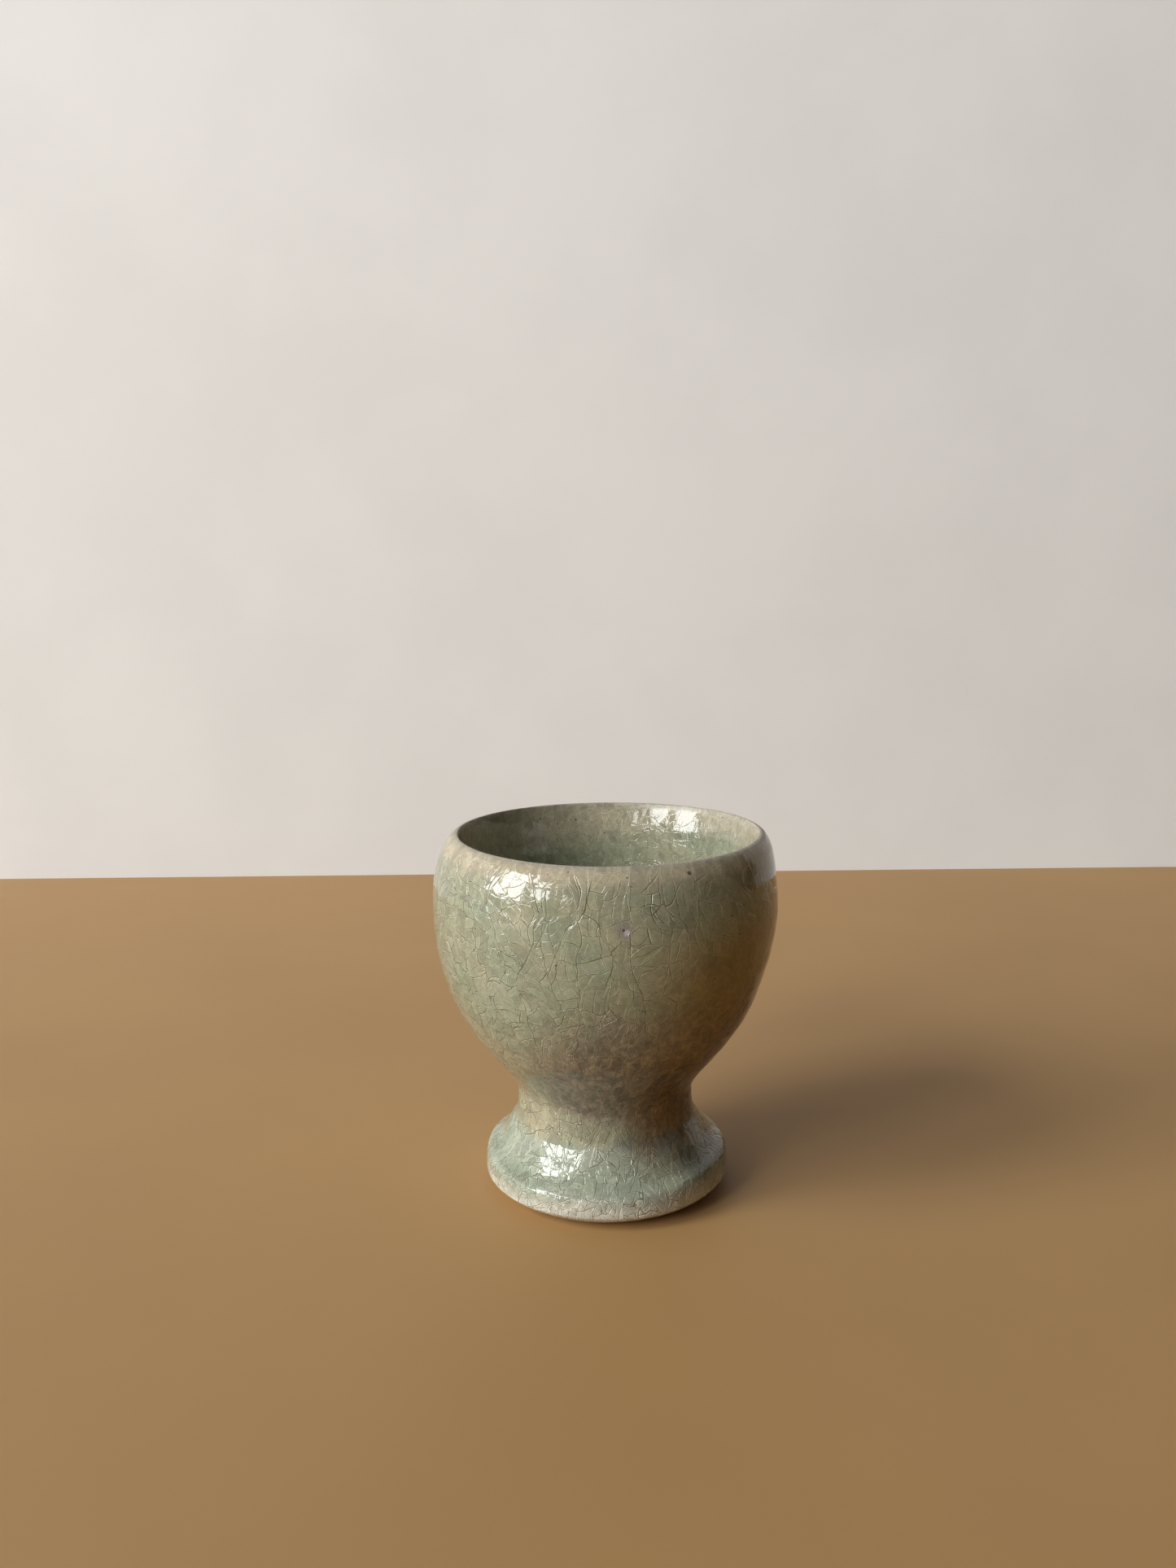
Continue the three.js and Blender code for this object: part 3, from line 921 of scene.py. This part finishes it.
# %% Material: bare clay
clay = bpy.data.materials.new("bare_clay")
clay.use_nodes = True
tree = clay.node_tree
shader = tree.nodes["Principled BSDF"]
place = scaled(tree, add(tree, "ShaderNodeTexCoord", {}, "Object"), 1000.0)
sand = clouds(tree, place, 0.6, 3.0)
CLAY_PINK, CLAY_BUFF = (0.55, 0.42, 0.33, 1), (0.47, 0.37, 0.28, 1)
PALE_SAND, CLAY_IRON = (0.66, 0.56, 0.46, 1), (0.12, 0.07, 0.05, 1)
colour = blend(tree, fade(tree, clouds(tree, place, 5.0), 0.35, 0.65), CLAY_PINK, CLAY_BUFF)
colour = blend(tree, fade(tree, sand, 0.4, 0.7, 0.0, 0.5), colour, PALE_SAND)
pepper = use(tree, specks, {"Place": place, "Spacing": 1.8, "Radius": 0.2, "Share": 0.4})["Speck"]
colour = blend(tree, calc(tree, "MULTIPLY", pepper, 0.6), colour, CLAY_IRON)
tree.links.new(colour, shader.inputs["Base Color"])
tree.links.new(fade(tree, sand, 0.3, 0.7, 0.75, 0.95), shader.inputs["Roughness"])
sandy = calc(tree, "MULTIPLY", sand, 0.12)
bump = add(tree, "ShaderNodeBump", {"Strength": 0.8, "Distance": 0.001, "Height": sandy}, "Normal")
tree.links.new(bump, shader.inputs["Normal"])
cup_mesh.materials.append(clay)

# %% Wipe the glaze off the ring
WIPED_HEIGHT, WIPED_RADIUS = 0.35, 16.2
bare_rings = (outline[:, 1] < WIPED_HEIGHT) & (outline[:, 0] < WIPED_RADIUS)
face_rings = np.repeat(np.arange(rings - 1), TURNS)
slots = np.where(bare_rings[face_rings] & bare_rings[face_rings + 1], 1, 0)
cup_mesh.polygons.foreach_set("material_index", np.append(slots, [0] * len(fans)).astype(np.int32))
print(int(slots.sum()), "faces of bare clay")

# %% [markdown]
# ## Floor and backdrop
#
# A plain warm floor and a plain pale wall behind it, both matt. They also light the cup: the glaze mirrors
# the wall at its edge, and the floor throws warm light up from below. The wall glows a little by itself,
# which keeps it evenly bright without another lamp that the glaze would mirror.
#
# From here on, lengths are metres.

# %% Floor and backdrop
def plain(name, colour, roughness, glow=0.0):
    """A matt material of one colour, with a faint cloudiness, that may glow a little."""
    material = bpy.data.materials.new(name)
    material.use_nodes = True
    tree = material.node_tree
    shader = tree.nodes["Principled BSDF"]
    place = add(tree, "ShaderNodeTexCoord", {}, "Object")
    light, dark = [tuple(part * share for part in colour) + (1,) for share in (1.02, 0.97)]
    tint = blend(tree, fade(tree, clouds(tree, place, 0.05, 3.0), 0.3, 0.7), dark, light)
    tree.links.new(tint, shader.inputs["Base Color"])
    shader.inputs["Roughness"].default_value = roughness
    shader.inputs["Emission Color"].default_value = (*colour, 1)
    shader.inputs["Emission Strength"].default_value = glow
    return material


def sheet(name, corners, material):
    """One flat four-cornered sheet."""
    mesh = bpy.data.meshes.new(name)
    mesh.from_pydata(corners, [], [(0, 1, 2, 3)])
    mesh.materials.append(material)
    made = bpy.data.objects.new(name, mesh)
    bpy.context.scene.collection.objects.link(made)
    return made


WALL_BEHIND, WALL_TALL = 0.22, 0.32
WALL_SIDE, FLOOR_SIDE, FLOOR_FRONT = 0.6, 2, -1.5
floor_sheet = sheet(
    "floor",
    [
        (-FLOOR_SIDE, FLOOR_FRONT, 0), (FLOOR_SIDE, FLOOR_FRONT, 0),
        (FLOOR_SIDE, WALL_BEHIND, 0), (-FLOOR_SIDE, WALL_BEHIND, 0),
    ],
    plain("warm_floor", (0.46, 0.265, 0.10), 0.6),
)
wall_sheet = sheet(
    "backdrop",
    [
        (-WALL_SIDE, WALL_BEHIND, 0), (WALL_SIDE, WALL_BEHIND, 0),
        (WALL_SIDE, WALL_BEHIND, WALL_TALL), (-WALL_SIDE, WALL_BEHIND, WALL_TALL),
    ],
    plain("pale_wall", (0.78, 0.77, 0.75), 0.9, 0.10),
)
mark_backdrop(floor_sheet, wall_sheet)
print("the wall stands", WALL_BEHIND, "m behind the cup's middle")

# %% [markdown]
# ## Light
#
# One soft window stands in front of the cup and to its left. It is made of separate panes, because their
# mirror image on the glaze shows the bars between them. Each pane is an area light that looks straight
# into the room. Beside the window, narrow bright strips are what the glaze mirrors past its edge.

# %% Window light
def area_light(name, place, target, width, tall, watts, colour):
    """A rectangular lamp at a place, that shines towards a target and that the camera doesn't see."""
    light = bpy.data.lights.new(name, "AREA")
    light.shape = "RECTANGLE"
    light.size, light.size_y = width, tall
    light.energy = watts
    light.color = colour
    made = bpy.data.objects.new(name, light)
    made.location = place
    made.rotation_euler = (Vector(target) - Vector(place)).to_track_quat("-Z", "Y").to_euler()
    made.visible_camera = False
    bpy.context.scene.collection.objects.link(made)
    return made


# The direction from the cup to the window, turned from the front to the left, and along the window's sill.
WINDOW_TURN, WINDOW_AWAY = math.radians(65), 1.6
to_window = Vector((-math.sin(WINDOW_TURN), -math.cos(WINDOW_TURN), 0))
along_sill = Vector((math.cos(WINDOW_TURN), -math.sin(WINDOW_TURN), 0))
DAYLIGHT, WALL_LIGHT = (0.96, 0.985, 1.0), (0.98, 0.985, 1.0)

# Every pane: its two sides along the sill, its lower and upper edge, and how brightly it glows.
for number, (side, other_side, lower, upper, glow) in enumerate([
    (-0.42, 0.19, 0.30, 0.96, 12.5), (-0.46, 0.19, 1.03, 1.72, 12.5),
    (0.38, 0.82, 0.42, 0.96, 12.0), (0.38, 0.82, 1.03, 1.45, 12.0),
    (1.00, 1.60, 1.42, 1.48, 7.0), (1.00, 1.06, 0.50, 1.38, 7.0), (1.24, 1.50, 0.50, 0.80, 7.0),
]):
    pane_height = Vector((0, 0, (lower + upper) / 2))
    centre = to_window * WINDOW_AWAY + along_sill * ((side + other_side) / 2) + pane_height
    width, tall = other_side - side, upper - lower
    watts = math.pi * width * tall * glow
    area_light(f"pane_{number}", centre, centre - to_window, width, tall, watts, DAYLIGHT)

# A pale wall on the left, behind the window's edge: dim and broad.
area_light("left_wall", (-1.6, 0.35, 0.7), (0, 0, 0.05), 1.2, 1.2, 4.0, WALL_LIGHT)

# %% The dim room
# The room is dim, so that the window stays the brightest thing that the glaze mirrors. Only the camera sees
# a pale grey in its place, past the edges of the floor and the wall.
DIM_ROOM, PALE_GREY = (0.016, 0.013, 0.010, 1), (0.62, 0.61, 0.59, 1)
world = bpy.data.worlds.new("room")
world.use_nodes = True
tree = world.node_tree
seen = add(tree, "ShaderNodeLightPath", {}, "Is Camera Ray")
behind = blend(tree, seen, DIM_ROOM, PALE_GREY)
tree.links.new(behind, tree.nodes["Background"].inputs["Color"])
bpy.context.scene.world = world
print(len(bpy.data.lights), "lamps")

# %% [markdown]
# ## Camera
#
# A phone's main lens, close to the cup and looking a little down on it, held not quite level. Its place was
# found by laying the rendered outline of the cup over the photographed one.

# %% Camera
CAMERA_PLACE = (-0.00249, -0.17899, 0.08948)
LENS, LOOKS_DOWN, OFF_LEVEL = 27.03, math.radians(8.325), math.radians(-0.595)
camera = bpy.data.cameras.new("camera")
camera.sensor_width = 36
camera.lens = LENS
camera.clip_start = 0.01
viewer = bpy.data.objects.new("camera", camera)
level = Matrix.Rotation(math.pi / 2 - LOOKS_DOWN, 4, "X")
viewer.matrix_world = Matrix.Translation(CAMERA_PLACE) @ level @ Matrix.Rotation(OFF_LEVEL, 4, "Z")
bpy.context.scene.collection.objects.link(viewer)
bpy.context.scene.camera = viewer
bpy.context.scene.view_settings.view_transform = "Standard"

# %% Check the size and finish
low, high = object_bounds()
room_left = [round(1000 * float(side), 3) for side in (*(low - frame_low), *(frame_high - high))]
print("room left to the measured solid, mm:", room_left)
